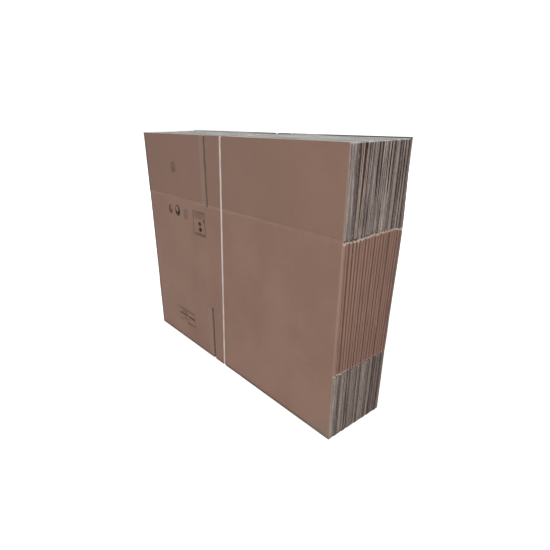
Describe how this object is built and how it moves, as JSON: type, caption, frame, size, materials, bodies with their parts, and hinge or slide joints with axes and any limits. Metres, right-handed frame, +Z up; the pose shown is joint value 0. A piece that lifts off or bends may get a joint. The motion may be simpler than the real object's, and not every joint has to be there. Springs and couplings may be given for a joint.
{
  "type": "strapped bundle of flat-packed cardboard boxes",
  "caption": "Slotted boxes of fluted board, folded flat and standing on edge in a tight stack, held together by a narrow strap round its middle.",
  "frame": {"origin": "middle of the stack's footprint, on the surface that it stands on", "axes": "+X along the panels, to the right as the front is seen; +Y from the front board to the back board; +Z up"},
  "size_m": [0.7196, 0.1642, 0.5716],
  "materials": {
    "kraft_board": "matte",
    "white_strap": "satin"
  },
  "bodies": {
    "root": {"carton_01": "kraft_board", "carton_02": "kraft_board", "carton_03": "kraft_board", "carton_04": "kraft_board", "carton_05": "kraft_board", "carton_06": "kraft_board", "carton_07": "kraft_board", "carton_08": "kraft_board", "carton_09": "kraft_board", "carton_10": "kraft_board", "carton_11": "kraft_board", "carton_12": "kraft_board", "carton_13": "kraft_board", "carton_14": "kraft_board", "carton_15": "kraft_board", "carton_16": "kraft_board", "carton_17": "kraft_board", "carton_18": "kraft_board", "carton_19": "kraft_board", "carton_20": "kraft_board", "strap": "white_strap"}
  },
  "joints": []
}
